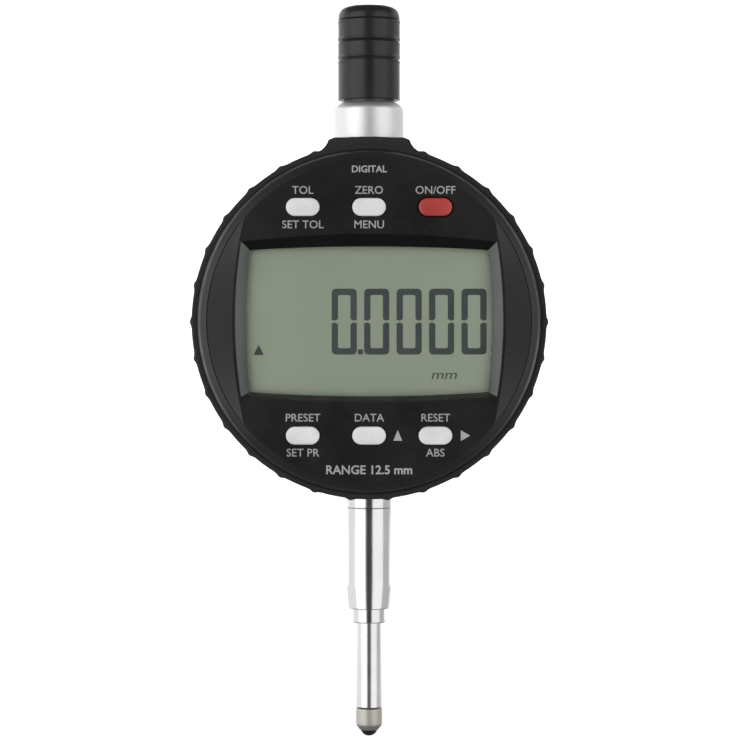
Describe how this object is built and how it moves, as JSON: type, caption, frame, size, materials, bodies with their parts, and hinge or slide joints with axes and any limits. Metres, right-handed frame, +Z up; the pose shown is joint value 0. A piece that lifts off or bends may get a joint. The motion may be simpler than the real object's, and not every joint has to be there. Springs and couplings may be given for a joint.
{
  "type": "digital dial indicator",
  "caption": "Digital plunger indicator: round swivelling display head with push keys on a fixed housing, capped top collar, clamping stem and sprung spindle with ball contact.",
  "frame": {"origin": "on the spindle axis at the middle of the stem's clamping length", "axes": "+Z up along the spindle, the display faces -Y, +X to the right of the display"},
  "size_m": [0.0604, 0.0276, 0.126],
  "materials": {
    "housing_black": "fine textured black coating",
    "cover_black": "satin moulded black",
    "shell_black": "satin moulded black, finely grained",
    "face_black": "satin moulded black with printed legends",
    "grip_rubber": "ribbed matt black",
    "cap_black": "satin black with fine beads",
    "seal_rubber": "matt black",
    "chrome": "bright, fine turned",
    "tip_steel": "hardened steel, ground",
    "ball_carbide": "polished dark carbide",
    "plain_steel": "machined",
    "carrier_alloy": "machined alloy",
    "bronze": "turned bearing metal",
    "board_green": "lacquered circuit board",
    "chip_black": "moulded chip body",
    "clear_glass": "clear, polished",
    "lcd_green": "grey-green reflective display",
    "frame_grey": "moulded grey",
    "pad_grey": "grey silicone",
    "key_white": "satin light grey",
    "key_red": "satin red"
  },
  "bodies": {
    "housing": {"rear_housing": "housing_black", "back_cover": "cover_black", "back_cover_gasket": "seal_rubber", "back_cover_screw_1": "plain_steel", "back_cover_screw_2": "plain_steel", "back_cover_screw_3": "plain_steel", "back_cover_screw_4": "plain_steel", "stem": "chrome", "lower_guide_bush": "bronze", "upper_guide_bush": "bronze", "stem_nose": "chrome", "cap_collar": "chrome", "buffer_ring": "seal_rubber", "guide_rod": "plain_steel", "return_spring": "plain_steel", "spring_anchor": "plain_steel", "reader_board": "board_green", "reader_head": "chip_black", "battery_tray": "cover_black", "battery_contact": "bronze", "battery_cell": "plain_steel", "data_port_socket": "cover_black", "swivel_retainer": "plain_steel", "swivel_friction_washer": "bronze", "swivel_stop_pin": "plain_steel", "swivel_screw_1": "plain_steel", "swivel_screw_2": "plain_steel", "swivel_screw_3": "plain_steel"},
    "cap": {"spindle_cap": "cap_black"},
    "spindle_set": {"spindle": "chrome", "contact_point": "tip_steel", "contact_ball": "ball_carbide", "spindle_stop_ring": "plain_steel", "scale_carrier": "carrier_alloy", "carrier_screw": "plain_steel", "measuring_scale": "clear_glass", "spring_post": "plain_steel"},
    "battery_lid": {"battery_lid": "cover_black"},
    "port_cover": {"data_port_cover": "seal_rubber"},
    "display_head": {"display_shell": "shell_black", "grip_ring": "grip_rubber", "face_plate": "face_black", "window_lens": "clear_glass", "lcd_panel": "lcd_green", "lcd_frame": "frame_grey", "lcd_connector_upper": "pad_grey", "lcd_connector_lower": "pad_grey", "keypad_mat_upper": "pad_grey", "keypad_mat_lower": "pad_grey", "main_board": "board_green", "processor_chip": "chip_black"},
    "key_tolerance": {"button_tolerance": "key_white"},
    "key_menu": {"button_menu": "key_white"},
    "key_power": {"button_power": "key_red"},
    "key_preset": {"button_preset": "key_white"},
    "key_data": {"button_data": "key_white"},
    "key_reset": {"button_reset": "key_white"}
  },
  "joints": [
    {"name": "spindle_slide", "type": "slide", "parent": "housing", "child": "spindle_set", "axis": [0, 0, 1], "range_m": [0, 0.0125], "stiffness_N_per_m": 20, "springref_m": -0.03, "deforming": ["return_spring"]},
    {"name": "head_swivel", "type": "hinge", "parent": "housing", "child": "display_head", "pos_m": [0, 0, 0.038], "axis": [0, 1, 0], "range_deg": [-140, 140]},
    {"name": "cap_pull", "type": "slide", "parent": "housing", "child": "cap", "axis": [0, 0, 1], "range_m": [0, 0.008]},
    {"name": "battery_lid_turn", "type": "hinge", "parent": "housing", "child": "battery_lid", "pos_m": [0.0154, 0.0084, 0.038], "axis": [0, 1, 0], "range_deg": [0, 90]},
    {"name": "port_cover_pull", "type": "slide", "parent": "housing", "child": "port_cover", "axis": [-1, 0, 0], "range_m": [0, 0.006]},
    {"name": "tolerance_press", "type": "slide", "parent": "display_head", "child": "key_tolerance", "axis": [0, 1, 0], "range_m": [0, 0.0005], "stiffness_N_per_m": 1000, "springref_m": -0.0006},
    {"name": "menu_press", "type": "slide", "parent": "display_head", "child": "key_menu", "axis": [0, 1, 0], "range_m": [0, 0.0005], "stiffness_N_per_m": 1000, "springref_m": -0.0006},
    {"name": "power_press", "type": "slide", "parent": "display_head", "child": "key_power", "axis": [0, 1, 0], "range_m": [0, 0.0005], "stiffness_N_per_m": 1000, "springref_m": -0.0006},
    {"name": "preset_press", "type": "slide", "parent": "display_head", "child": "key_preset", "axis": [0, 1, 0], "range_m": [0, 0.0005], "stiffness_N_per_m": 1000, "springref_m": -0.0006},
    {"name": "data_press", "type": "slide", "parent": "display_head", "child": "key_data", "axis": [0, 1, 0], "range_m": [0, 0.0005], "stiffness_N_per_m": 1000, "springref_m": -0.0006},
    {"name": "reset_press", "type": "slide", "parent": "display_head", "child": "key_reset", "axis": [0, 1, 0], "range_m": [0, 0.0005], "stiffness_N_per_m": 1000, "springref_m": -0.0006}
  ]
}
